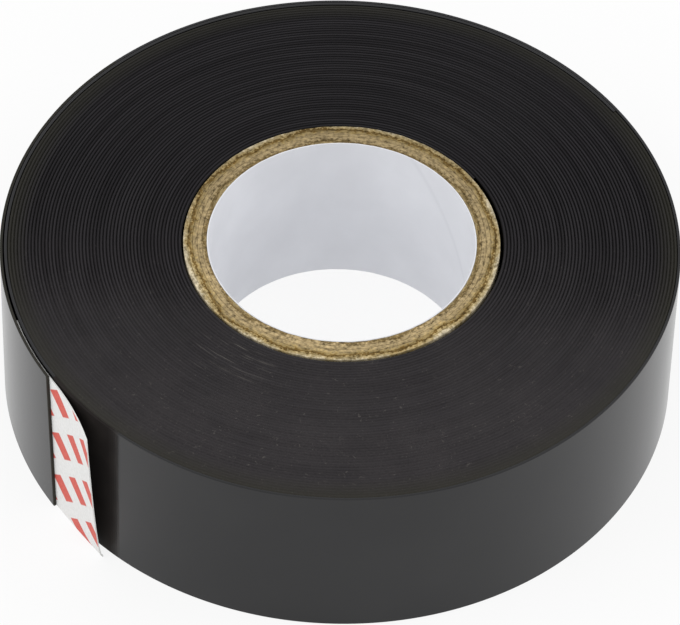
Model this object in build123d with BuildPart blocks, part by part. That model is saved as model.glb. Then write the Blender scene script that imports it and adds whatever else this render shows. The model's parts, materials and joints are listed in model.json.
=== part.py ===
from build123d import *
import os
from math import asin, ceil, cos, degrees, pi, radians

# A roll of electrical tape that lies flat: a paper core, one long strip of tape wound on it as a
# spiral, and a paper starter tab under the strip's free end. Millimetres and degrees, +Z up. The
# origin is on the core's axis, in the plane that the roll lies on. Angles are seen from above,
# from +X, and the tape winds outwards in the direction in which they grow.
#
# The last stretch of tape is made as short lengths that hinge on each other, so that the free end
# can peel off the roll.

# Tape
tape_width = 19.0
film_thickness = 0.29
adhesive_thickness = 0.05
groove_depth = 0.15
half_turns = 105
free_end_angle = 215.3

# Paper core: a white liner in the bore, and plies of chipboard glued around it
core_bore_diameter = 26.7
liner_thickness = 0.12
ply_thickness = 0.45
ply_count = 5
glue_thickness = 0.02

# The stretch that peels, from its root on the roll to the free end
length_count = 5
length_angle = 16.0
hinge_gap = 0.05

# Starter tab: one strip of paper, glued under the free end, with a flap that curls off the roll
tab_thickness = 0.15
tab_clearance = 0.03
tab_leaf_angle = 15.0
tab_flap_length = 8.0
tab_foot_stand_off = 0.65
tab_top_stand_off = 2.2

# What follows from those sizes
turn_pitch = film_thickness + adhesive_thickness
core_wall = liner_thickness + ply_count * (glue_thickness + ply_thickness)
first_turn_radius = core_bore_diameter / 2 + core_wall + adhesive_thickness
peel_angle = length_count * length_angle
peel_root_angle = free_end_angle - peel_angle
spiral_start_angle = free_end_angle - half_turns * 180


def direction(angle):
    """The unit vector that points away from the axis at an angle."""
    return Vector(1, 0, 0).rotate(Axis.Z, angle)


def arc_angle(length, radius):
    """The angle that a length takes up along an arc."""
    return degrees(length / radius)


def spiral_face(offset, start, end):
    """Arcs along the spiral, at an offset from the film's inner face. Angles count from its start."""
    arcs = []
    for index in range(int(start // 180), ceil(end / 180)):
        arc_start = max(start, index * 180)
        arc_sweep = min(end, (index + 1) * 180) - arc_start
        radius = half_turn_radii[index] + offset
        arcs.append(CenterArc(half_turn_centres[index], radius, spiral_start_angle + arc_start, arc_sweep))
    return arcs


# The spiral is a chain of half circles, whose centres lie a quarter pitch either side of the axis.
half_turn_centres = [
    direction(spiral_start_angle + index * 180) * (-turn_pitch / 4) for index in range(half_turns)
]
half_turn_radii = [first_turn_radius + turn_pitch * (2 * index + 1) / 4 for index in range(half_turns)]

# The peeling stretch is a wider arc that leaves the roll on a tangent, which makes room for the tab.
room_angle = radians(peel_angle - tab_leaf_angle)
arc_growth = (tab_thickness + 2 * tab_clearance - adhesive_thickness) / (1 - cos(room_angle))
peel_radius = half_turn_radii[-1] + arc_growth
peel_centre = half_turn_centres[-1] - direction(peel_root_angle) * arc_growth
half_gap_angle = arc_angle(hinge_gap / 2, peel_radius)
wound_angle = half_turns * 180 - peel_angle - half_gap_angle
tab_outer_radius = peel_radius - tab_clearance
tab_inner_radius = tab_outer_radius - tab_thickness

os.makedirs("parts", exist_ok=True)

# The core, from the inside out
with BuildPart() as liner:
    with BuildSketch():
        Circle(core_bore_diameter / 2 + liner_thickness)
        Circle(core_bore_diameter / 2, mode=Mode.SUBTRACT)
    extrude(amount=tape_width)
liner.part.label = "core_liner"
export_step(liner.part, "parts/core_liner.step")

ply_inner_radius = core_bore_diameter / 2 + liner_thickness + glue_thickness
for number in range(1, ply_count + 1):
    with BuildPart() as ply:
        with BuildSketch():
            Circle(ply_inner_radius + ply_thickness)
            Circle(ply_inner_radius, mode=Mode.SUBTRACT)
        extrude(amount=tape_width)
    ply.part.label = f"core_ply_{number}"
    export_step(ply.part, f"parts/core_ply_{number}.step")
    ply_inner_radius += ply_thickness + glue_thickness

# The turns that stay on the roll are bonded to each other, so they are one solid, from the inner
# face of the first turn to the outer face of the last. The adhesive stops short of the film's
# edges, which leaves a groove between the turns, all the way along the spiral, at both ends.
with BuildPart() as wound_tape:
    with BuildSketch():
        with BuildLine():
            last_turn = spiral_face(film_thickness, wound_angle - 360, wound_angle)
            Line(last_turn[-1] @ 1, last_turn[0] @ 0)
        make_face()
        with BuildLine():
            first_turn = spiral_face(0, 0, 360)
            Line(first_turn[-1] @ 1, first_turn[0] @ 0)
        make_face(mode=Mode.SUBTRACT)
    extrude(amount=tape_width)
    with BuildSketch(Plane.XY, Plane.XY.offset(tape_width - groove_depth)):
        with BuildLine():
            groove_inner = spiral_face(film_thickness, 0, wound_angle - 360)
            groove_outer = spiral_face(turn_pitch, 0, wound_angle - 360)
            Line(groove_inner[0] @ 0, groove_outer[0] @ 0)
            Line(groove_inner[-1] @ 1, groove_outer[-1] @ 1)
        make_face()
    extrude(amount=groove_depth, mode=Mode.SUBTRACT)
wound_tape.part.label = "wound_tape"
export_step(wound_tape.part, "parts/wound_tape.step")


def curved_strip(inner_radius, thickness, start, end):
    """A strip that stands on edge and is bent around the centre of the peeling stretch."""
    with BuildPart() as strip:
        with BuildSketch():
            with BuildLine():
                inner = CenterArc(peel_centre, inner_radius, start, end - start)
                outer = CenterArc(peel_centre, inner_radius + thickness, start, end - start)
                Line(inner @ 0, outer @ 0)
                Line(inner @ 1, outer @ 1)
            make_face()
        extrude(amount=tape_width)
    return strip.part


# The lengths that peel off, from the root to the free end
for number in range(1, length_count + 1):
    start = peel_root_angle + (number - 1) * length_angle + half_gap_angle
    end = peel_root_angle + number * length_angle
    if number < length_count:
        end -= half_gap_angle
    tape_end = curved_strip(peel_radius, film_thickness, start, end)
    tape_end.label = f"tape_end_{number}"
    export_step(tape_end, f"parts/tape_end_{number}.step")

# The leaf of the tab that is glued under the last length
tab_leaf = curved_strip(tab_inner_radius, tab_thickness, free_end_angle - tab_leaf_angle, free_end_angle)
tab_leaf.label = "tab_glued_leaf"
export_step(tab_leaf, "parts/tab_glued_leaf.step")

# The flap goes on from the leaf on a tangent, and curls outwards more at its top than at its foot.
flap_root = direction(free_end_angle + 2 * half_gap_angle)
flap_onward = flap_root.rotate(Axis.Z, 90)
inner_root = peel_centre + flap_root * tab_inner_radius
outer_root = peel_centre + flap_root * tab_outer_radius
tangent_stand_off = tab_flap_length**2 / (2 * tab_inner_radius)
with BuildPart() as tab_flap:
    for height, stand_off in ((0, tab_foot_stand_off), (tape_width, tab_top_stand_off)):
        lift = degrees(asin((stand_off - tangent_stand_off) / tab_flap_length))
        # An arc that starts on the tangent turns by twice the angle of its chord.
        inner_tip = inner_root + flap_onward.rotate(Axis.Z, -lift) * tab_flap_length
        outer_tip = inner_tip + flap_root.rotate(Axis.Z, -2 * lift) * tab_thickness
        with BuildSketch(Plane.XY.offset(height)):
            with BuildLine():
                inner = TangentArc(inner_root, inner_tip, tangent=flap_onward)
                outer = TangentArc(outer_root, outer_tip, tangent=flap_onward)
                Line(inner @ 0, outer @ 0)
                Line(inner @ 1, outer @ 1)
            make_face()
    loft(ruled=True)
tab_flap.part.label = "tab_flap"
export_step(tab_flap.part, "parts/tab_flap.step")

# The hinge lines of the joints, on the outer face of the film and of the paper
for number in range(1, length_count + 1):
    hinge_angle = peel_root_angle + (number - 1) * length_angle
    hinge = peel_centre + direction(hinge_angle) * (peel_radius + film_thickness)
    print(f"hinge {number}: {hinge.X:.4f} {hinge.Y:.4f}")
tab_hinge = peel_centre + direction(free_end_angle + half_gap_angle) * tab_outer_radius
print(f"tab hinge: {tab_hinge.X:.4f} {tab_hinge.Y:.4f}")
print(f"tape length: {sum(pi * radius for radius in half_turn_radii) / 1000:.2f} m")
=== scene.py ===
import json
import math

import bpy
from mathutils import Matrix, Vector, noise


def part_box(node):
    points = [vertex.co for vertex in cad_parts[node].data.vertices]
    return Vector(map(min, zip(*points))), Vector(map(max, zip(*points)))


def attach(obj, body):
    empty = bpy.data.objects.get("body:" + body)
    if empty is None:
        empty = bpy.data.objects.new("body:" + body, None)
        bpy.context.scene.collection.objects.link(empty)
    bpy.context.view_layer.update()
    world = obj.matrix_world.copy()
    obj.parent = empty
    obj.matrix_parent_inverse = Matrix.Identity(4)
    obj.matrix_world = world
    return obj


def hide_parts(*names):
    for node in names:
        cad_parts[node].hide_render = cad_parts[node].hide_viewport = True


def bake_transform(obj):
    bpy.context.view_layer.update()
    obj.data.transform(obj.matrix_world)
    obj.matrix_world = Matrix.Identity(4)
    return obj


# A roll of black electrical tape on a paper core, with a printed paper tab under its free end.
# Metres; angles in degrees, seen from above, from +X.

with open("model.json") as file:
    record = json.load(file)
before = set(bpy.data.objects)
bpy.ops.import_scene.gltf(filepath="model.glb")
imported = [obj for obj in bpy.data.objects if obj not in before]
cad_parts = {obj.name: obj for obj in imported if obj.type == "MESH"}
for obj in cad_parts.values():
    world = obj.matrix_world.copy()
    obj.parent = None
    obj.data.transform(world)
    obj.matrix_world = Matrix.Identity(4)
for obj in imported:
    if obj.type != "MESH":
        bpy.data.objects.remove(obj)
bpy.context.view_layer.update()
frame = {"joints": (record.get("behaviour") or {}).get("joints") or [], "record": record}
mm = 0.001
mergeDistance = 0.001 * mm


def direction(angle):
    return Vector((math.cos(math.radians(angle)), math.sin(math.radians(angle)), 0))


def angleOf(point):
    return math.degrees(math.atan2(point.y, point.x)) % 360


def unevenness(place):
    # smooth noise from 0 to 1, the same on every run
    return 0.5 + 0.5 * noise.noise(place)


def makeActive(piece):
    bpy.ops.object.select_all(action="DESELECT")
    piece.select_set(True)
    bpy.context.view_layer.objects.active = piece


def drawSection(name, points):
    # a closed outline in the XZ plane: one point, extruded from corner to corner
    bpy.ops.object.select_all(action="DESELECT")
    bpy.ops.mesh.primitive_plane_add(size=1 * mm, location=(points[0][0], 0, points[0][1]))
    section = bpy.context.object
    section.name = section.data.name = name
    bpy.ops.object.transform_apply(location=True, rotation=True, scale=True)
    bpy.ops.object.mode_set(mode="EDIT")
    bpy.ops.mesh.merge(type="CENTER")
    for here, there in zip(points, points[1:] + points[:1]):
        step = (there[0] - here[0], 0, there[1] - here[1])
        bpy.ops.mesh.extrude_region_move(TRANSFORM_OT_translate={"value": step})
    bpy.ops.mesh.select_all(action="SELECT")
    bpy.ops.mesh.remove_doubles(threshold=mergeDistance)
    bpy.ops.object.mode_set(mode="OBJECT")
    return section


def filmSection(name, innerRadius, thickness, low, high, rounding):
    # the outline of a strip that stands on edge, with its four corners rounded
    shape = {"cornerSegments": 3, "supportAt": 1.6}
    middle, reach = (low + high) / 2, (high - low) / 2
    bpy.ops.object.select_all(action="DESELECT")
    bpy.ops.mesh.primitive_plane_add(size=1, location=(innerRadius + thickness / 2, 0, middle),
                                     rotation=(math.pi / 2, 0, 0))
    section = bpy.context.object
    section.name = section.data.name = name
    section.scale = (thickness, high - low, 1)
    bpy.ops.object.transform_apply(location=True, rotation=True, scale=True)
    bpy.ops.object.mode_set(mode="EDIT")
    bpy.ops.mesh.select_all(action="SELECT")
    bpy.ops.mesh.bevel(offset=rounding, offset_type="OFFSET", segments=shape["cornerSegments"],
                       affect="VERTICES")
    bpy.ops.mesh.select_all(action="SELECT")
    bpy.ops.mesh.delete(type="ONLY_FACE")
    bpy.ops.mesh.select_all(action="DESELECT")
    bpy.ops.object.mode_set(mode="OBJECT")
    # a point close to each end of the two long sides keeps their shading flat
    for edge in section.data.edges:
        ends = [section.data.vertices[number].co.z for number in edge.vertices]
        edge.select = abs(ends[0] - ends[1]) > reach
    bpy.ops.object.mode_set(mode="EDIT")
    bpy.ops.mesh.select_mode(type="EDGE")
    bpy.ops.mesh.subdivide(number_cuts=2)
    bpy.ops.mesh.select_mode(type="VERT")
    bpy.ops.object.mode_set(mode="OBJECT")
    for vertex in section.data.vertices:
        offset = vertex.co.z - middle
        if abs(offset) < reach / 2:
            vertex.co.z = middle + math.copysign(reach - shape["supportAt"] * rounding, offset)
    return section


def spinSection(section, sweep, steps):
    # turns the outline about the Z axis: a whole ring, or an arc that is open at both ends
    makeActive(section)
    bpy.ops.object.mode_set(mode="EDIT")
    bpy.ops.mesh.select_all(action="SELECT")
    bpy.ops.mesh.spin(steps=steps, angle=-math.radians(sweep), center=(0, 0, 0), axis=(0, 0, 1),
                      use_auto_merge=False)
    bpy.ops.object.mode_set(mode="OBJECT")


def closeAndSmooth(piece, smoothAngle=35):
    makeActive(piece)
    bpy.ops.object.mode_set(mode="EDIT")
    bpy.ops.mesh.select_all(action="SELECT")
    bpy.ops.mesh.remove_doubles(threshold=mergeDistance)
    bpy.ops.mesh.fill_holes(sides=0)
    bpy.ops.mesh.select_all(action="SELECT")
    bpy.ops.mesh.normals_make_consistent(inside=False)
    bpy.ops.object.mode_set(mode="OBJECT")
    bpy.ops.object.shade_smooth_by_angle(angle=math.radians(smoothAngle))


def paint(piece, *materials):
    piece.data.materials.clear()
    for material in materials:
        piece.data.materials.append(material)


def standFor(piece, slotName, *nodes):
    if nodes:
        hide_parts(*nodes)


def rideOnRoll(piece, slotName, *nodes):
    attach(piece, "roll")
    standFor(piece, slotName, *nodes)


# Colours are sRGB, and nodes take them as linear.
def toLinear(hexColour):
    channels = [int(hexColour[i:i + 2], 16) / 255 for i in (1, 3, 5)]
    return [c / 12.92 if c <= 0.04045 else ((c + 0.055) / 1.055) ** 2.4 for c in channels] + [1.0]


def link(node, links):
    for name, source in links.items():
        node.id_data.links.new(source, node.inputs[name])


def addNode(tree, kind, settings=None, links=None):
    # settings are sockets by name or number, properties, or a colour ramp's stops
    node = tree.nodes.new(kind)
    for name, value in (settings or {}).items():
        if name == "stops":
            elements = node.color_ramp.elements
            while len(elements) < len(value):
                elements.new(0.5)
            for element, (position, colour) in zip(elements, value):
                element.position = position
                element.color = toLinear(colour)
        elif isinstance(name, int) or name in node.inputs:
            node.inputs[name].default_value = value
        else:
            setattr(node, name, value)
    link(node, links or {})
    return node


mixFirst, mixSecond, mixResult = 6, 7, 2      # a Mix node's sockets for colours


def startMaterial(name, settings):
    material = bpy.data.materials.new(name)
    material.use_nodes = True
    shader = material.node_tree.nodes["Principled BSDF"]
    for socket, value in settings.items():
        shader.inputs[socket].default_value = value
    return material, material.node_tree, shader


# PVC film, calendered: black, smooth, with a soft gloss and a very faint orange peel.
def calenderedVinyl():
    look = {"colour": "#0c0c0f", "scuffed": "#131315", "cloudSize": 9 * mm, "roughness": (0.1, 0.17),
            "peelSize": 1.4 * mm, "peelStrength": 0.05, "peelDepth": 0.02 * mm}
    material, tree, shader = startMaterial("calenderedVinyl", {"IOR": 1.43})
    place = addNode(tree, "ShaderNodeTexCoord").outputs["Object"]
    cloud = addNode(tree, "ShaderNodeTexNoise", {"Scale": 1 / look["cloudSize"], "Detail": 3.0},
                    {"Vector": place}).outputs["Fac"]
    colour = addNode(tree, "ShaderNodeValToRGB",
                     {"stops": [(0.35, look["colour"]), (0.7, look["scuffed"])]}, {"Fac": cloud})
    gloss = addNode(tree, "ShaderNodeMapRange",
                    {"To Min": look["roughness"][0], "To Max": look["roughness"][1]}, {"Value": cloud})
    peel = addNode(tree, "ShaderNodeTexNoise", {"Scale": 1 / look["peelSize"], "Detail": 2.0},
                   {"Vector": place})
    bump = addNode(tree, "ShaderNodeBump",
                   {"Strength": look["peelStrength"], "Distance": look["peelDepth"]},
                   {"Height": peel.outputs["Fac"]})
    link(shader, {"Base Color": colour.outputs["Color"], "Roughness": gloss.outputs["Result"],
                  "Normal": bump.outputs["Normal"]})
    return material


# The stretch of that film next to the free end, with painted shade: darker and with less shine, it stands
# in for the flap's shadow and its dark reflection on the film. The share is how much of the shine is left.
def paintedShadeVinyl(share):
    look = {"deep": "#211e1d", "light": "#2c2826", "cloudSize": 3 * mm, "specular": 0.06 + 0.44 * share,
            "roughness": (0.35 - 0.25 * share, 0.5 - 0.33 * share)}
    material, tree, shader = startMaterial(f"paintedShadeVinyl{round(share * 100)}",
                                           {"IOR": 1.43, "Specular IOR Level": look["specular"]})
    place = addNode(tree, "ShaderNodeTexCoord").outputs["Object"]
    cloud = addNode(tree, "ShaderNodeTexNoise", {"Scale": 1 / look["cloudSize"], "Detail": 3.0},
                    {"Vector": place}).outputs["Fac"]
    colour = addNode(tree, "ShaderNodeValToRGB", {"stops": [(0.35, look["deep"]), (0.75, look["light"])]},
                     {"Fac": cloud})
    gloss = addNode(tree, "ShaderNodeMapRange",
                    {"To Min": look["roughness"][0], "To Max": look["roughness"][1]}, {"Value": cloud})
    link(shader, {"Base Color": colour.outputs["Color"], "Roughness": gloss.outputs["Result"]})
    return material


# Rubber adhesive coat: black, tacky, a little uneven.
def rubberAdhesive():
    look = {"colour": "#121212", "worn": "#1f1d1c", "grain": 0.8 * mm, "grainStrength": 0.3,
            "grainDepth": 0.03 * mm, "roughness": (0.3, 0.55)}
    material, tree, shader = startMaterial("rubberAdhesive", {"IOR": 1.5, "Specular IOR Level": 0.35})
    place = addNode(tree, "ShaderNodeTexCoord").outputs["Object"]
    grain = addNode(tree, "ShaderNodeTexNoise", {"Scale": 1 / look["grain"], "Detail": 4.0},
                    {"Vector": place}).outputs["Fac"]
    colour = addNode(tree, "ShaderNodeValToRGB", {"stops": [(0.3, look["colour"]), (0.75, look["worn"])]},
                     {"Fac": grain})
    gloss = addNode(tree, "ShaderNodeMapRange",
                    {"To Min": look["roughness"][0], "To Max": look["roughness"][1]}, {"Value": grain})
    bump = addNode(tree, "ShaderNodeBump",
                   {"Strength": look["grainStrength"], "Distance": look["grainDepth"]}, {"Height": grain})
    link(shader, {"Base Color": colour.outputs["Color"], "Roughness": gloss.outputs["Result"],
                  "Normal": bump.outputs["Normal"]})
    return material


def ringPattern(tree, place, around, across):
    # coordinates that follow the rings: a pattern is stretched around the axis, with no seam
    typicalRadius = 20 * mm
    flat = addNode(tree, "ShaderNodeVectorMath", {"operation": "MULTIPLY", 1: (1, 1, 0)},
                   {0: place}).outputs["Vector"]
    radius = addNode(tree, "ShaderNodeVectorMath", {"operation": "LENGTH"}, {0: flat}).outputs["Value"]
    unit = addNode(tree, "ShaderNodeVectorMath", {"operation": "NORMALIZE"}, {0: flat})
    turned = addNode(tree, "ShaderNodeVectorMath", {"operation": "SCALE", "Scale": typicalRadius / around},
                     {0: unit.outputs["Vector"]})
    outwards = addNode(tree, "ShaderNodeMath", {"operation": "DIVIDE", 1: across}, {0: radius})
    lift = addNode(tree, "ShaderNodeCombineXYZ", None, {"Z": outwards.outputs["Value"]})
    both = addNode(tree, "ShaderNodeVectorMath", {"operation": "ADD"},
                   {0: turned.outputs["Vector"], 1: lift.outputs["Vector"]})
    return both.outputs["Vector"], radius


# The slit edges of the film: dull black, each turn a slightly different tone, with dust and scuffs, and a
# painted brightening of the face towards -Y.
def slitVinyl():
    look = {"dark": "#1b191c", "light": "#282629", "turnPitch": 0.34 * mm, "toneLength": 14 * mm,
            "groove": "#010101", "grooveShade": 1.1,
            # the dust tint and its reach along Y also paint the face lighter towards -Y
            "dustAndLight": "#353233", "grain": 0.2 * mm, "dustPatch": 4 * mm, "dustAndLightFrom": 12 * mm,
            "dustAndLightTo": -28 * mm, "mostDustAndLight": 1.25,
            "scuffPlace": (-10.5 * mm, -15.5 * mm, 19 * mm), "scuffReach": 5.5 * mm,
            "scuffLength": 5 * mm, "scuffWidth": 0.22 * mm, "scuffShare": 0.75,
            "speck": "#6f6b66", "speckSize": 0.45 * mm, "speckShare": 0.3,
            "brown": "#2d2c24", "rim": (31.2 * mm, 33.7 * mm), "rimShare": 0.75,
            "roughness": (0.4, 0.65), "grainStrength": 0.35, "grainDepth": 0.03 * mm}
    material, tree, shader = startMaterial("slitVinyl", {"IOR": 1.5, "Specular IOR Level": 0.1})
    place = addNode(tree, "ShaderNodeTexCoord").outputs["Object"]
    rings, radius = ringPattern(tree, place, look["toneLength"], look["turnPitch"])
    tone = addNode(tree, "ShaderNodeTexNoise", {"Scale": 0.9, "Detail": 2.0}, {"Vector": rings})
    colour = addNode(tree, "ShaderNodeValToRGB", {"stops": [(0.38, look["dark"]), (0.62, look["light"])]},
                     {"Fac": tone.outputs["Fac"]}).outputs["Color"]
    # the gaps between the turns lie in shade
    groove = addNode(tree, "ShaderNodeAttribute", {"attribute_name": "groove"})
    shade = addNode(tree, "ShaderNodeMath",
                    {"operation": "MULTIPLY", "use_clamp": True, 1: look["grooveShade"]},
                    {0: groove.outputs["Fac"]}).outputs["Value"]
    # fine dust, with painted light: the dust's share grows towards -Y, so that the face is lighter on that
    # side
    grain = addNode(tree, "ShaderNodeTexNoise",
                    {"Scale": 1 / look["grain"], "Detail": 3.0, "Roughness": 0.7},
                    {"Vector": place}).outputs["Fac"]
    split = addNode(tree, "ShaderNodeSeparateXYZ", None, {"Vector": place})
    side = addNode(tree, "ShaderNodeMapRange",
                   {"interpolation_type": "SMOOTHSTEP", "From Min": look["dustAndLightFrom"],
                    "From Max": look["dustAndLightTo"], "To Max": look["mostDustAndLight"]},
                   {"Value": split.outputs["Y"]}).outputs["Result"]
    cloud = addNode(tree, "ShaderNodeTexNoise", {"Scale": 1 / look["dustPatch"], "Detail": 3.0},
                    {"Vector": place})
    patchy = addNode(tree, "ShaderNodeMapRange",
                     {"From Min": 0.3, "From Max": 0.7, "To Min": 0.75, "To Max": 1.25},
                     {"Value": cloud.outputs["Fac"]})
    # scuffs that run along the turns, in one place
    streaks, _ = ringPattern(tree, place, look["scuffLength"], look["scuffWidth"])
    streaks = addNode(tree, "ShaderNodeTexNoise", {"Scale": 1.0, "Detail": 2.0}, {"Vector": streaks})
    streak = addNode(tree, "ShaderNodeMapRange",
                     {"From Min": 0.62, "From Max": 0.74, "To Max": look["scuffShare"]},
                     {"Value": streaks.outputs["Fac"]})
    away = addNode(tree, "ShaderNodeVectorMath", {"operation": "DISTANCE", 1: look["scuffPlace"]},
                   {0: place})
    near = addNode(tree, "ShaderNodeMapRange", {"From Min": look["scuffReach"], "From Max": 0.0},
                   {"Value": away.outputs["Value"]})
    # a few pale specks and hairs of dust
    specks = addNode(tree, "ShaderNodeTexNoise",
                     {"Scale": 1 / look["speckSize"], "Detail": 2.0, "Distortion": 1.5}, {"Vector": place})
    speck = addNode(tree, "ShaderNodeMapRange",
                    {"From Min": 0.66, "From Max": 0.76, "To Max": look["speckShare"]},
                    {"Value": specks.outputs["Fac"]})
    # a browner band at the rim
    rim = addNode(tree, "ShaderNodeMapRange",
                  {"From Min": look["rim"][0], "From Max": look["rim"][1], "To Max": look["rimShare"]},
                  {"Value": radius})
    dustAndLight = addNode(tree, "ShaderNodeMath", {"operation": "MULTIPLY"}, {0: side, 1: grain})
    layers = [("groove", shade, None), ("dustAndLight", dustAndLight.outputs["Value"], patchy.outputs["Result"]),
              ("speck", streak.outputs["Result"], near.outputs["Result"]),
              ("speck", speck.outputs["Result"], side), ("brown", rim.outputs["Result"], None)]
    for tint, share, where in layers:
        if where is not None:
            share = addNode(tree, "ShaderNodeMath", {"operation": "MULTIPLY"},
                            {0: share, 1: where}).outputs["Value"]
        colour = addNode(tree, "ShaderNodeMix", {"data_type": "RGBA", mixSecond: toLinear(look[tint])},
                         {"Factor": share, mixFirst: colour}).outputs[mixResult]
    dull = addNode(tree, "ShaderNodeMapRange",
                   {"To Min": look["roughness"][0], "To Max": look["roughness"][1]}, {"Value": grain})
    bump = addNode(tree, "ShaderNodeBump",
                   {"Strength": look["grainStrength"], "Distance": look["grainDepth"]}, {"Height": grain})
    link(shader, {"Base Color": colour, "Roughness": dull.outputs["Result"],
                  "Normal": bump.outputs["Normal"]})
    return material


# Smooth white liner paper with a cold tint and a faint mottle.
def linerPaper():
    look = {"colour": "#e0e1e5", "light": "#e6e7eb", "mottle": 5 * mm, "fibre": 0.25 * mm,
            "fibreStrength": 0.15, "fibreDepth": 0.02 * mm}
    # the spiral seam where the edges of the liner meet: its angle grows with the height
    seam = {"climb": math.radians(3.75) / mm, "start": math.radians(-11.25), "width": math.radians(2.8),
            "colour": "#cfd0d5", "share": 0.32}
    material, tree, shader = startMaterial("linerPaper", {"IOR": 1.45, "Roughness": 0.6,
                                                          "Specular IOR Level": 0.3})
    place = addNode(tree, "ShaderNodeTexCoord").outputs["Object"]
    mottle = addNode(tree, "ShaderNodeTexNoise", {"Scale": 1 / look["mottle"], "Detail": 4.0},
                     {"Vector": place})
    colour = addNode(tree, "ShaderNodeValToRGB", {"stops": [(0.3, look["colour"]), (0.7, look["light"])]},
                     {"Fac": mottle.outputs["Fac"]})
    split = addNode(tree, "ShaderNodeSeparateXYZ", None, {"Vector": place})
    angle = addNode(tree, "ShaderNodeMath", {"operation": "ARCTAN2"},
                    {0: split.outputs["Y"], 1: split.outputs["X"]})
    climb = addNode(tree, "ShaderNodeMath",
                    {"operation": "MULTIPLY_ADD", 1: seam["climb"], 2: seam["start"]},
                    {0: split.outputs["Z"]})
    away = addNode(tree, "ShaderNodeMath", {"operation": "SUBTRACT"},
                   {0: angle.outputs["Value"], 1: climb.outputs["Value"]})
    away = addNode(tree, "ShaderNodeMath", {"operation": "ABSOLUTE"}, {0: away.outputs["Value"]})
    line = addNode(tree, "ShaderNodeMapRange",
                   {"From Min": seam["width"], "From Max": 0.0, "To Max": seam["share"]},
                   {"Value": away.outputs["Value"]})
    colour = addNode(tree, "ShaderNodeMix", {"data_type": "RGBA", mixSecond: toLinear(seam["colour"])},
                     {"Factor": line.outputs["Result"], mixFirst: colour.outputs["Color"]})
    fibre = addNode(tree, "ShaderNodeTexNoise", {"Scale": 1 / look["fibre"], "Detail": 3.0},
                    {"Vector": place})
    bump = addNode(tree, "ShaderNodeBump",
                   {"Strength": look["fibreStrength"], "Distance": look["fibreDepth"]},
                   {"Height": fibre.outputs["Fac"]})
    link(shader, {"Base Color": colour.outputs[mixResult], "Normal": bump.outputs["Normal"]})
    return material


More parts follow.
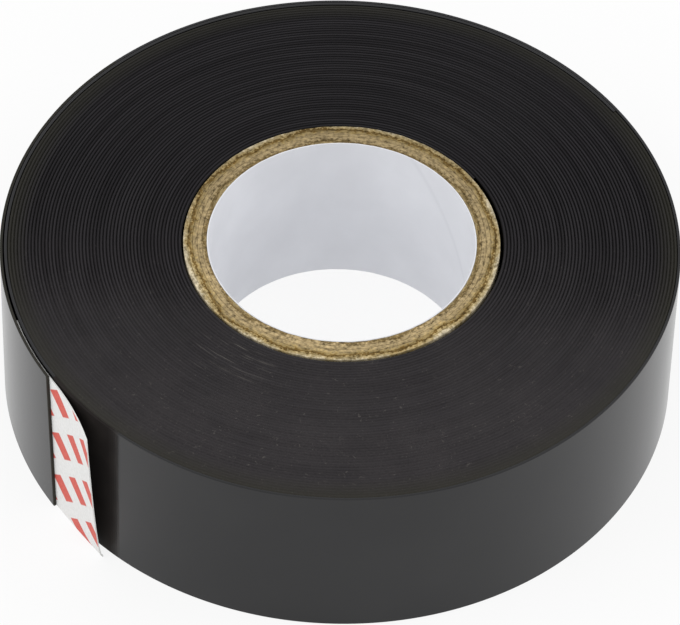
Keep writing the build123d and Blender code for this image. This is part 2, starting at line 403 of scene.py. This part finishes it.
# Grey-brown chipboard, cut across: short fibres along the plies, dark flecks, brown glue lines and a
# pale outer face.
def chipboard():
    look = {"fibreLength": 0.75 * mm, "fibreWidth": 0.3 * mm, "fleck": 0.35 * mm, "patch": 1.6 * mm,
            "stain": 9 * mm, "fleckColour": "#3f3018", "fleckShare": 0.7, "contrast": (0.42, 1.5),
            "burnish": (0.85, 1.1), "side": (0.82, 1.1), "fibreStrength": 0.5, "fibreDepth": 0.08 * mm}
    # the bands go from the liner outwards, and each noise moves them by up to so much
    bands = {"wall": (13.47 * mm, 15.82 * mm), "wander": 1.1 * mm, "ragged": 0.4 * mm, "torn": 0.6 * mm,
             "colours": [(0.0, "#a8956c"), (0.05, "#735f3a"), (0.12, "#84714c"), (0.22, "#ac9872"),
                         (0.5, "#a8946d"), (0.62, "#a28d5f"), (0.7, "#6b5429"), (0.745, "#6a5228"),
                         (0.8, "#a48f61"), (0.94, "#ad9d79"), (1.0, "#bcb095")]}
    material, tree, shader = startMaterial("chipboard", {"IOR": 1.45, "Roughness": 0.9,
                                                         "Specular IOR Level": 0.15})
    place = addNode(tree, "ShaderNodeTexCoord").outputs["Object"]
    along, radius = ringPattern(tree, place, look["fibreLength"], look["fibreWidth"])
    fibre = addNode(tree, "ShaderNodeTexNoise", {"Scale": 1.0, "Detail": 3.0, "Roughness": 0.6},
                    {"Vector": along}).outputs["Fac"]
    fleck = addNode(tree, "ShaderNodeTexNoise",
                    {"Scale": 1 / look["fleck"], "Detail": 4.0, "Roughness": 0.65},
                    {"Vector": place}).outputs["Fac"]
    patch = addNode(tree, "ShaderNodeTexNoise", {"Scale": 1 / look["patch"], "Detail": 2.0},
                    {"Vector": place}).outputs["Fac"]
    stain = addNode(tree, "ShaderNodeTexNoise", {"Scale": 1 / look["stain"], "Detail": 2.0},
                    {"Vector": place}).outputs["Fac"]
    for source, reach in ((stain, bands["wander"]), (patch, bands["ragged"]), (fleck, bands["torn"])):
        wander = addNode(tree, "ShaderNodeMapRange", {"To Min": -reach, "To Max": reach},
                         {"Value": source})
        radius = addNode(tree, "ShaderNodeMath", {"operation": "ADD"},
                         {0: radius, 1: wander.outputs["Result"]}).outputs["Value"]
    band = addNode(tree, "ShaderNodeMapRange",
                   {"From Min": bands["wall"][0], "From Max": bands["wall"][1]}, {"Value": radius})
    colour = addNode(tree, "ShaderNodeValToRGB", {"stops": bands["colours"]},
                     {"Fac": band.outputs["Result"]})
    # fibres and flecks darken and lighten it, and it is burnished in places and paler at one side
    texture = addNode(tree, "ShaderNodeMath", {"operation": "ADD"}, {0: fibre, 1: fleck}).outputs["Value"]
    split = addNode(tree, "ShaderNodeSeparateXYZ", None, {"Vector": place})
    shade = addNode(tree, "ShaderNodeMapRange",
                    {"From Min": 0.72, "From Max": 1.28, "To Min": look["contrast"][0],
                     "To Max": look["contrast"][1]}, {"Value": texture}).outputs["Result"]
    burnish = addNode(tree, "ShaderNodeMapRange",
                      {"From Min": 0.35, "From Max": 0.65, "To Min": look["burnish"][0],
                       "To Max": look["burnish"][1]}, {"Value": stain})
    side = addNode(tree, "ShaderNodeMapRange",
                   {"From Min": 15 * mm, "From Max": -15 * mm, "To Min": look["side"][0],
                    "To Max": look["side"][1]}, {"Value": split.outputs["Y"]})
    for factor in (burnish, side):
        shade = addNode(tree, "ShaderNodeMath", {"operation": "MULTIPLY"},
                        {0: shade, 1: factor.outputs["Result"]}).outputs["Value"]
    colour = addNode(tree, "ShaderNodeVectorMath", {"operation": "SCALE"},
                     {0: colour.outputs["Color"], "Scale": shade})
    flecks = addNode(tree, "ShaderNodeMapRange",
                     {"From Min": 0.37, "From Max": 0.3, "To Max": look["fleckShare"]}, {"Value": fibre})
    colour = addNode(tree, "ShaderNodeMix",
                     {"data_type": "RGBA", mixSecond: toLinear(look["fleckColour"])},
                     {"Factor": flecks.outputs["Result"], mixFirst: colour.outputs["Vector"]})
    bump = addNode(tree, "ShaderNodeBump",
                   {"Strength": look["fibreStrength"], "Distance": look["fibreDepth"]},
                   {"Height": texture})
    link(shader, {"Base Color": colour.outputs[mixResult], "Normal": bump.outputs["Normal"]})
    return material


# Plain white tab paper.
def tabPaper():
    look = {"colour": "#dcddda", "light": "#e8e8e6", "fibre": 0.3 * mm}
    material, tree, shader = startMaterial("tabPaper", {"IOR": 1.45, "Roughness": 0.65,
                                                        "Specular IOR Level": 0.3})
    place = addNode(tree, "ShaderNodeTexCoord").outputs["Object"]
    fibre = addNode(tree, "ShaderNodeTexNoise", {"Scale": 1 / look["fibre"], "Detail": 3.0},
                    {"Vector": place})
    colour = addNode(tree, "ShaderNodeValToRGB", {"stops": [(0.3, look["colour"]), (0.7, look["light"])]},
                     {"Fac": fibre.outputs["Fac"]})
    link(shader, {"Base Color": colour.outputs["Color"]})
    return material


# The same paper, printed with plain slanted dashes in slanting rows. The UV map is in millimetres:
# U along the strip from the tape's cut end, V up. The dashes' ends are cut parallel to the rows.
def printedPaper():
    look = {"rowAngle": 41.5, "alongRow": 4.17, "betweenRows": 4.8, "dashAngle": -36.0,
            "dashRise": 2.95, "dashWidth": 1.9, "phase": (-3.78, -2.08), "soft": 0.05,
            "ink": "#cb554b", "paleInk": "#d8665b", "paper": "#dededc", "palePaper": "#e9e9e8",
            "fibre": 0.3 * mm}
    material, tree, shader = startMaterial("printedPaper", {"IOR": 1.45, "Roughness": 0.6,
                                                            "Specular IOR Level": 0.3})
    coordinates = addNode(tree, "ShaderNodeTexCoord")
    rows = addNode(tree, "ShaderNodeMapping",
                   {"Location": (*look["phase"], 0), "Rotation": (0, 0, math.radians(-look["rowAngle"]))},
                   {"Vector": coordinates.outputs["UV"]})
    split = addNode(tree, "ShaderNodeSeparateXYZ", None, {"Vector": rows.outputs["Vector"]})
    cell = []
    for axis, pitch in (("X", look["alongRow"]), ("Y", look["betweenRows"])):
        wrapped = addNode(tree, "ShaderNodeMath", {"operation": "WRAP", 1: -pitch / 2, 2: pitch / 2},
                          {0: split.outputs[axis]})
        cell.append(wrapped.outputs["Value"])
    lean = math.tan(math.radians(90 + look["dashAngle"] - look["rowAngle"]))
    shift = addNode(tree, "ShaderNodeMath", {"operation": "MULTIPLY", 1: lean}, {0: cell[1]})
    across = addNode(tree, "ShaderNodeMath", {"operation": "ADD"}, {0: cell[0], 1: shift.outputs["Value"]})
    inside = []
    for value, size in ((cell[1], look["dashRise"]), (across.outputs["Value"], look["dashWidth"])):
        distance = addNode(tree, "ShaderNodeMath", {"operation": "ABSOLUTE"}, {0: value})
        edge = addNode(tree, "ShaderNodeMapRange",
                       {"From Min": size / 2 + look["soft"], "From Max": size / 2 - look["soft"]},
                       {"Value": distance.outputs["Value"]})
        inside.append(edge.outputs["Result"])
    mark = addNode(tree, "ShaderNodeMath", {"operation": "MULTIPLY"}, {0: inside[0], 1: inside[1]})
    fibre = addNode(tree, "ShaderNodeTexNoise", {"Scale": 1 / look["fibre"], "Detail": 3.0},
                    {"Vector": coordinates.outputs["Object"]}).outputs["Fac"]
    paper = addNode(tree, "ShaderNodeValToRGB",
                    {"stops": [(0.3, look["paper"]), (0.7, look["palePaper"])]}, {"Fac": fibre})
    ink = addNode(tree, "ShaderNodeValToRGB", {"stops": [(0.3, look["ink"]), (0.7, look["paleInk"])]},
                  {"Fac": fibre})
    mixed = addNode(tree, "ShaderNodeMix", {"data_type": "RGBA"},
                    {"Factor": mark.outputs["Value"], mixFirst: paper.outputs["Color"],
                     mixSecond: ink.outputs["Color"]})
    link(shader, {"Base Color": mixed.outputs[mixResult]})
    return material


finish = {
    "film": calenderedVinyl(),
    # painted shade for the film next to the free end, in steps of shine
    "paintedShade": [paintedShadeVinyl(share) for share in (0.0, 0.07, 0.15, 0.3, 0.6)],
    "adhesive": rubberAdhesive(),
    "slit": slitVinyl(),
    "liner": linerPaper(),
    "chipboard": chipboard(),
    "tab": tabPaper(),
    "print": printedPaper(),
}
print("materials made")


# What the frame gives: where the tape stands, the core, the bore and the hinges.
tapeLow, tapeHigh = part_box("wound_tape")[0].z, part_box("wound_tape")[1].z
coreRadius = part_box("core_ply_5")[1].x
boreRadius = frame["record"]["mounts"][0]["dims"]["r_mm"] * mm
hinges = [Vector(joint["pos_m"]).xy.to_3d() for joint in frame["joints"] if joint["name"] != "tab_fold"]

tape = {
    "film": 0.29 * mm,             # thickness of the film
    "adhesive": 0.05 * mm,
    "turnsInPack": 51,             # the rest is the last turn and the stretch that peels
    "halfTurnStart": 35.3,         # where each half circle of the spiral starts, and half a turn on
    "edgeRounding": 0.04 * mm,
}
turnPitch = tape["film"] + tape["adhesive"]
firstTurnRadius = coreRadius + tape["adhesive"]


def circleThrough(a, b, c):
    # centre and radius of the circle through three points
    toB, toC = b - a, c - a
    cross = 2 * (toB.x * toC.y - toB.y * toC.x)
    centre = a + Vector((toC.y * toB.length_squared - toB.y * toC.length_squared,
                         toB.x * toC.length_squared - toC.x * toB.length_squared, 0)) / cross
    return centre, (a - centre).length


# The hinges lie on the outer face of the film.
peelCentre, peelOuterRadius = circleThrough(hinges[0], hinges[2], hinges[4])
rootAngle = angleOf(hinges[0] - peelCentre)
lengthAngle = angleOf(hinges[1] - peelCentre) - rootAngle
freeEndAngle = rootAngle + lengthAngle * len(hinges)


def layOnSpiral(piece, sweep):
    # moves each row of a spun strip out along the spiral, whose half circles have two centres
    justBelow = 0.01
    lastHalfTurn = math.ceil(sweep / 180) - 1
    count = len(piece.data.vertices)
    for vertex in piece.data.vertices:
        radius = vertex.co.xy.length
        turned = angleOf(vertex.co)
        guess = vertex.index / count * sweep
        turned += 360 * round((guess - turned) / 360)
        halfTurn = min(int((turned + justBelow) // 180), lastHalfTurn)
        centre = direction(tape["halfTurnStart"] + 180 * halfTurn) * (-turnPitch / 4)
        grown = radius + turnPitch / 4 + halfTurn * turnPitch / 2
        place = centre + direction(tape["halfTurnStart"] + turned) * grown
        vertex.co.x, vertex.co.y = place.x, place.y


def makePack():
    # the turns under the last one: a ring whose ends show the edge of every turn
    shape = {
        "steps": 180,
        "groove": 0.12 * mm,           # depth of the groove between two turns
        "gap": 0.05 * mm,              # half the width of its bottom
        "gapEdge": 0.09 * mm,          # depth at the bottom's edges
        "shoulder": 0.045 * mm,        # width of each rounded edge
        "drop": 0.012 * mm,
        "unevenTurns": 0.035 * mm,     # some turns stand lower than others by up to this
        "turnRate": 1.1,
        "turnSeed": 3.7,
        "unevenFace": 0.03 * mm,       # and the whole face dips in patches
        "facePatch": 9 * mm,
        "openFrom": -5 * mm,           # the grooves are smeared shut towards one side
        "smearedFrom": -21 * mm,
        "smearedOpen": 0.28,
    }
    first = firstTurnRadius - tape["adhesive"] / 2
    edge = shape["gap"] + shape["shoulder"]
    top, bottom = [], []
    for turn in range(tape["turnsInPack"]):
        inner = first + turn * turnPitch
        outer = inner + turnPitch
        top += [(inner, tapeHigh - shape["groove"]),
                (inner + shape["gap"], tapeHigh - shape["gapEdge"]),
                (inner + edge, tapeHigh - shape["drop"]),
                (outer - edge, tapeHigh - shape["drop"]),
                (outer - shape["gap"], tapeHigh - shape["gapEdge"])]
        bottom += [(inner, tapeLow + shape["groove"]), (inner + edge, tapeLow), (outer - edge, tapeLow)]
    last = first + tape["turnsInPack"] * turnPitch
    top.append((last, tapeHigh - shape["groove"]))
    bottom.append((last, tapeLow + shape["groove"]))
    pack = drawSection("woundTape", top + bottom[::-1])
    spinSection(pack, 360, shape["steps"])
    layOnSpiral(pack, 360)
    grooves = pack.data.attributes.new("groove", "FLOAT", "POINT")
    for vertex in pack.data.vertices:
        along = (vertex.co.xy.length - first) / turnPitch
        low = shape["unevenTurns"] * unevenness(Vector((along * shape["turnRate"], shape["turnSeed"], 0)))
        low += shape["unevenFace"] * unevenness(vertex.co.xy.to_3d() / shape["facePatch"])
        if vertex.co.z > (tapeLow + tapeHigh) / 2:
            share = (vertex.co.y - shape["smearedFrom"]) / (shape["openFrom"] - shape["smearedFrom"])
            share = min(1, max(0, share))
            depth = (tapeHigh - vertex.co.z) * (shape["smearedOpen"] + (1 - shape["smearedOpen"]) * share)
            grooves.data[vertex.index].value = depth / shape["groove"]
            vertex.co.z = tapeHigh - depth - low
        else:
            vertex.co.z += low
    closeAndSmooth(pack, 50)
    paint(pack, finish["slit"])
    rideOnRoll(pack, "black_vinyl", "wound_tape")


makePack()
print("wound tape made")


def paintTape(strip, centre):
    # film outside, adhesive inside, dull slit edges above and below
    paint(strip, finish["film"], finish["adhesive"], finish["slit"])
    slitDepth = tape["edgeRounding"] / 6
    for face in strip.data.polygons:
        outwards = face.normal.dot((face.center - centre).xy.to_3d().normalized())
        fromEdge = min(face.center.z - tapeLow, tapeHigh - face.center.z)
        if outwards < -0.5:
            face.material_index = 1
        elif abs(face.normal.z) > 0.8 or fromEdge < slitDepth:
            face.material_index = 2


def makeLastTurn():
    # the outermost turn, and the stretch of the one before it up to where the free end starts
    shape = {"step": 0.5, "paintedShadeAngle": 16.5}
    sweep = 360 + (rootAngle - tape["halfTurnStart"]) % 360
    inner = firstTurnRadius + tape["turnsInPack"] * turnPitch
    turn = filmSection("lastTurn", inner, tape["film"], tapeLow, tapeHigh, tape["edgeRounding"])
    spinSection(turn, sweep, round(sweep / shape["step"]))
    layOnSpiral(turn, sweep)
    closeAndSmooth(turn)
    paintTape(turn, Vector())
    # painted shade: behind the tab the film is made darker and duller, for the flap's shadow and dark
    # reflection; its shine comes back in steps
    paint(turn, *turn.data.materials, *finish["paintedShade"])
    for face in turn.data.polygons:
        left = freeEndAngle + shape["paintedShadeAngle"] - angleOf(face.center)
        if face.material_index == 0 and 0 < left < shape["paintedShadeAngle"]:
            face.material_index = 3 + max(0, len(finish["paintedShade"]) - 1 - int(left / shape["step"]))
    rideOnRoll(turn, "black_vinyl")


makeLastTurn()
print("last turn made")


def bendAcross(piece):
    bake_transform(piece)


def turnedStrip(name, innerRadius, thickness, low, high, rounding, start, end):
    # a strip around the peeling stretch's centre, from one angle to another
    step = 0.25
    strip = filmSection(name, innerRadius, thickness, low, high, rounding)
    spinSection(strip, end - start, round((end - start) / step))
    turn = Matrix.Translation(peelCentre) @ Matrix.Rotation(math.radians(start), 4, "Z")
    strip.data.transform(turn)
    return strip


# the second angle is how far back from the cut the painted shade reaches, in degrees
cut = {"slant": 0.65 * mm, "shadedCutAngle": 0.3}


def cutBack(height):
    # how far the slanting cut goes back at a height, in degrees
    return math.degrees(cut["slant"] * (height - tapeLow) / (tapeHigh - tapeLow) / peelOuterRadius)


def makeFreeEnd():
    # one strip in stretches, each around one hinge; the last one ends in the slanting cut
    last = len(hinges)
    for number in range(1, last + 1):
        start = rootAngle + max(0, number - 1.5) * lengthAngle
        end = freeEndAngle if number == last else rootAngle + (number - 0.5) * lengthAngle
        strip = turnedStrip(f"tapeEnd{number}", peelOuterRadius - tape["film"], tape["film"], tapeLow,
                            tapeHigh, tape["edgeRounding"], start, end)
        if number == last:
            for vertex in strip.data.vertices:
                along = ((angleOf(vertex.co - peelCentre) - start) / (end - start)) ** 2
                turn = Matrix.Rotation(-math.radians(cutBack(vertex.co.z) * along), 4, "Z")
                vertex.co = peelCentre + turn @ (vertex.co - peelCentre)
        closeAndSmooth(strip)
        paintTape(strip, peelCentre)
        # painted shade: the outer face next to the cut gets the dull slit finish, a dark line that widens
        # the shadow at the cut end
        for face in strip.data.polygons:
            left = freeEndAngle - cutBack(face.center.z) - angleOf(face.center - peelCentre)
            if face.material_index == 0 and left < cut["shadedCutAngle"]:
                face.material_index = 2
        bendAcross(strip)
        standFor(strip, "black_vinyl", f"tape_end_{number}")


makeFreeEnd()
print("free end made")


tab = {
    "thickness": 0.13 * mm,
    "clearance": 0.03 * mm,       # from the tape above it
    "leafAngle": 15.0,            # glued under the tape
    "splitAngle": 4.0,            # leaf and flap meet this far under the tape
    "flapLength": 8.2 * mm,
    "footStandOff": 0.65 * mm,    # how far the tip stands off the roll
    "topStandOff": 2.2 * mm,
    "topDrop": 0.3 * mm,          # the paper is a little narrower than the tape
    "rounding": 0.02 * mm,
    "rootBend": 1.5 * mm,         # the fold takes up this much of the flap
}
tabOuterRadius = peelOuterRadius - tape["film"] - tab["clearance"]


def makeLeaf():
    start, end = freeEndAngle - tab["leafAngle"], freeEndAngle - tab["splitAngle"]
    leaf = turnedStrip("tabLeaf", tabOuterRadius - tab["thickness"], tab["thickness"], tapeLow,
                       tapeHigh - tab["topDrop"], tab["rounding"], start, end)
    closeAndSmooth(leaf)
    paint(leaf, finish["tab"])
    bendAcross(leaf)
    standFor(leaf, "tab_paper", "tab_glued_leaf")


def flapPlace(along, height):
    # a point of the flap's outer face: along is from the tape's cut end, negative under the tape
    root = direction(freeEndAngle)
    onward = direction(freeEndAngle + 90)
    if along < 0:
        return peelCentre + direction(freeEndAngle + math.degrees(along / tabOuterRadius)) * tabOuterRadius
    share = math.sqrt(max(0, height) / (tapeHigh - tapeLow))
    standOff = tab["footStandOff"] + (tab["topStandOff"] - tab["footStandOff"]) * share
    tangentStandOff = tab["flapLength"] ** 2 / (2 * tabOuterRadius)
    lift = math.asin((standOff - tangentStandOff) / tab["flapLength"])
    turned = 2 * lift * along / tab["flapLength"]        # an arc turns by twice the angle of its chord
    chord = along * (math.sin(turned / 2) / (turned / 2) if abs(turned) > 1e-6 else 1)
    rootPoint = peelCentre + root * tabOuterRadius
    return rootPoint + (onward * math.cos(turned / 2) + root * math.sin(turned / 2)) * chord


def makeFlap():
    shape = {"alongCuts": 64, "upCuts": 48}
    under = math.radians(tab["splitAngle"]) * tabOuterRadius
    length = tab["flapLength"] + under
    height = tapeHigh - tab["topDrop"] - tapeLow
    bpy.ops.object.select_all(action="DESELECT")
    bpy.ops.mesh.primitive_grid_add(x_subdivisions=shape["alongCuts"], y_subdivisions=shape["upCuts"],
                                    size=1)
    flap = bpy.context.object
    flap.name = flap.data.name = "tabFlap"
    layer = flap.data.uv_layers.active or flap.data.uv_layers.new(name="UVMap")
    for loop in flap.data.loops:
        corner = flap.data.vertices[loop.vertex_index].co
        layer.data[loop.index].uv = (((corner.x + 0.5) * length - under) / mm,
                                     (corner.y + 0.5) * height / mm)
    for vertex in flap.data.vertices:
        up = (vertex.co.y + 0.5) * height
        vertex.co = flapPlace((vertex.co.x + 0.5) * length - under, up)
        vertex.co.z = tapeLow + up
    paint(flap, finish["print"], finish["tab"])
    makeActive(flap)
    wall = flap.modifiers.new("wall", "SOLIDIFY")
    wall.thickness = tab["thickness"]
    wall.offset = -1
    wall.material_offset = wall.material_offset_rim = 1
    bpy.ops.object.modifier_apply(modifier=wall.name)
    bpy.ops.object.shade_smooth_by_angle(angle=math.radians(35))
    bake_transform(flap)
    standFor(flap, "tab_paper", "tab_flap")


makeLeaf()
makeFlap()
print("tab made")


core = {"liner": 0.12 * mm, "ply": 0.45 * mm, "glue": 0.02 * mm, "plies": 5,
        "linerTorn": 0.06 * mm, "plyTorn": 0.12 * mm}


def coreRing(name, innerRadius, wall, torn, materialName, slotName, node):
    # a paper ring with slightly torn ends
    shape = {"steps": 240, "rounding": 0.05 * mm, "tear": 0.9 * mm, "fineTear": 2.7, "fineShare": 0.3}
    ring = filmSection(name, innerRadius, wall, tapeLow, tapeHigh, min(wall / 5, shape["rounding"]))
    spinSection(ring, 360, shape["steps"])
    middle = (tapeLow + tapeHigh) / 2
    for vertex in ring.data.vertices:
        place = vertex.co / shape["tear"]
        depth = unevenness(place) + shape["fineShare"] * noise.noise(place * shape["fineTear"])
        vertex.co.z -= math.copysign(torn * max(0, depth), vertex.co.z - middle)
    closeAndSmooth(ring, 40)
    paint(ring, finish[materialName])
    rideOnRoll(ring, slotName, node)


def makeCore():
    coreRing("coreLiner", boreRadius, core["liner"], core["linerTorn"], "liner", "liner_paper",
             "core_liner")
    inner = boreRadius + core["liner"] + core["glue"]
    for number in range(1, core["plies"] + 1):
        coreRing(f"corePly{number}", inner, core["ply"], core["plyTorn"], "chipboard", "chipboard",
                 f"core_ply_{number}")
        inner += core["ply"] + core["glue"]


makeCore()
print("core made")


def makeCamera():
    view = {"azimuth": 0.7, "elevation": 48.09, "distance": 547.8 * mm, "lens": 287.0, "sensor": 36.0,
            "roll": 1.582, "aimRight": 0.00003, "aimUp": -0.00157, "nearest": 0.01, "farthest": 20.0}
    rise = math.radians(view["elevation"])
    right = direction(view["azimuth"])
    back = direction(view["azimuth"] - 90) * math.cos(rise) + Vector((0, 0, math.sin(rise)))
    forward = -back
    up = right.cross(forward)
    forward = (forward + right * view["aimRight"] + up * view["aimUp"]).normalized()
    right = forward.cross(up).normalized()
    up = right.cross(forward)
    roll = math.radians(view["roll"])
    cameraRight = right * math.cos(roll) + up * math.sin(roll)
    cameraUp = up * math.cos(roll) - right * math.sin(roll)
    lens = bpy.data.cameras.new("camera")
    lens.lens = view["lens"]
    lens.sensor_width = view["sensor"]
    lens.clip_start, lens.clip_end = view["nearest"], view["farthest"]
    camera = bpy.data.objects.new("camera", lens)
    bpy.context.scene.collection.objects.link(camera)
    turn = Matrix((cameraRight, cameraUp, -forward)).transposed().to_4x4()
    middle = Vector((0, 0, (tapeLow + tapeHigh) / 2))
    camera.matrix_world = Matrix.Translation(middle + back * view["distance"]) @ turn
    bpy.context.scene.camera = camera


def anyRay(tree, path, *kinds):
    # 1 for rays of these kinds, and 0 for others
    seen = path.outputs[kinds[0]]
    for kind in kinds[1:]:
        seen = addNode(tree, "ShaderNodeMath", {"operation": "MAXIMUM"},
                       {0: seen, 1: path.outputs[kind]}).outputs["Value"]
    return seen


def makeWorld():
    # soft white light from all sides, with a white background
    light = {"soft": 0.76, "background": 1.0, "colour": "#ffffff"}
    world = bpy.data.worlds.new("softStudio")
    bpy.context.scene.world = world
    world.use_nodes = True
    tree = world.node_tree
    tree.nodes.clear()
    path = addNode(tree, "ShaderNodeLightPath")
    seen = anyRay(tree, path, "Is Camera Ray", "Is Transmission Ray", "Is Glossy Ray")
    colour = toLinear(light["colour"])
    soft = addNode(tree, "ShaderNodeBackground", {"Color": colour, "Strength": light["soft"]})
    white = addNode(tree, "ShaderNodeBackground", {"Color": colour, "Strength": light["background"]})
    mixed = addNode(tree, "ShaderNodeMixShader", None,
                    {0: seen, 1: soft.outputs["Background"], 2: white.outputs["Background"]})
    addNode(tree, "ShaderNodeOutputWorld", None, {"Surface": mixed.outputs["Shader"]})


def makeFloor():
    # mostly white by itself, so that it looks like the background but keeps a soft shadow
    look = {"size": 4.0, "colour": "#f4f4f4", "white": "#ffffff", "shadowShare": 0.14, "glow": 0.42,
            "mirrored": 0.5}
    bpy.ops.object.select_all(action="DESELECT")
    bpy.ops.mesh.primitive_plane_add(size=look["size"], location=(0, 0, tapeLow))
    floor = bpy.context.object
    floor.name = "floor"
    material = bpy.data.materials.new("paleFloor")
    material.use_nodes = True
    tree = material.node_tree
    tree.nodes.clear()
    path = addNode(tree, "ShaderNodeLightPath")
    share = addNode(tree, "ShaderNodeMapRange", {"To Min": look["glow"], "To Max": 1 - look["shadowShare"]},
                    {"Value": anyRay(tree, path, "Is Camera Ray", "Is Transmission Ray")})
    mirrored = addNode(tree, "ShaderNodeMath", {"operation": "MULTIPLY", 1: look["mirrored"]},
                       {0: path.outputs["Is Glossy Ray"]})
    share = addNode(tree, "ShaderNodeMath", {"operation": "MAXIMUM"},
                    {0: share.outputs["Result"], 1: mirrored.outputs["Value"]})
    matt = addNode(tree, "ShaderNodeBsdfDiffuse", {"Color": toLinear(look["colour"])})
    white = addNode(tree, "ShaderNodeEmission", {"Color": toLinear(look["white"]), "Strength": 1.0})
    mixed = addNode(tree, "ShaderNodeMixShader", None,
                    {0: share.outputs["Value"], 1: matt.outputs["BSDF"], 2: white.outputs["Emission"]})
    addNode(tree, "ShaderNodeOutputMaterial", None, {"Surface": mixed.outputs["Shader"]})
    paint(floor, material)


def makeLamps():
    lamps = {
        "leftSoftbox": {"place": (-0.55, -0.15, 0.5), "size": 0.45, "power": 1.35},
        "rightSoftbox": {"place": (0.6, 0.1, 0.45), "size": 0.45, "power": 1.25},
        "frontFill": {"place": (0.1, -0.7, 0.5), "size": 0.6, "power": 0.6},
    }
    for name, lamp in lamps.items():
        data = bpy.data.lights.new(name, "AREA")
        data.energy, data.size = lamp["power"], lamp["size"]
        lampObject = bpy.data.objects.new(name, data)
        bpy.context.scene.collection.objects.link(lampObject)
        place = Vector(lamp["place"])
        lampObject.location = place
        lampObject.rotation_mode = "QUATERNION"
        lampObject.rotation_quaternion = (-place).to_track_quat("-Z", "Y")


makeCamera()
makeWorld()
makeFloor()
makeLamps()
bpy.context.scene.view_settings.view_transform = "Standard"
print("camera, light and floor made")
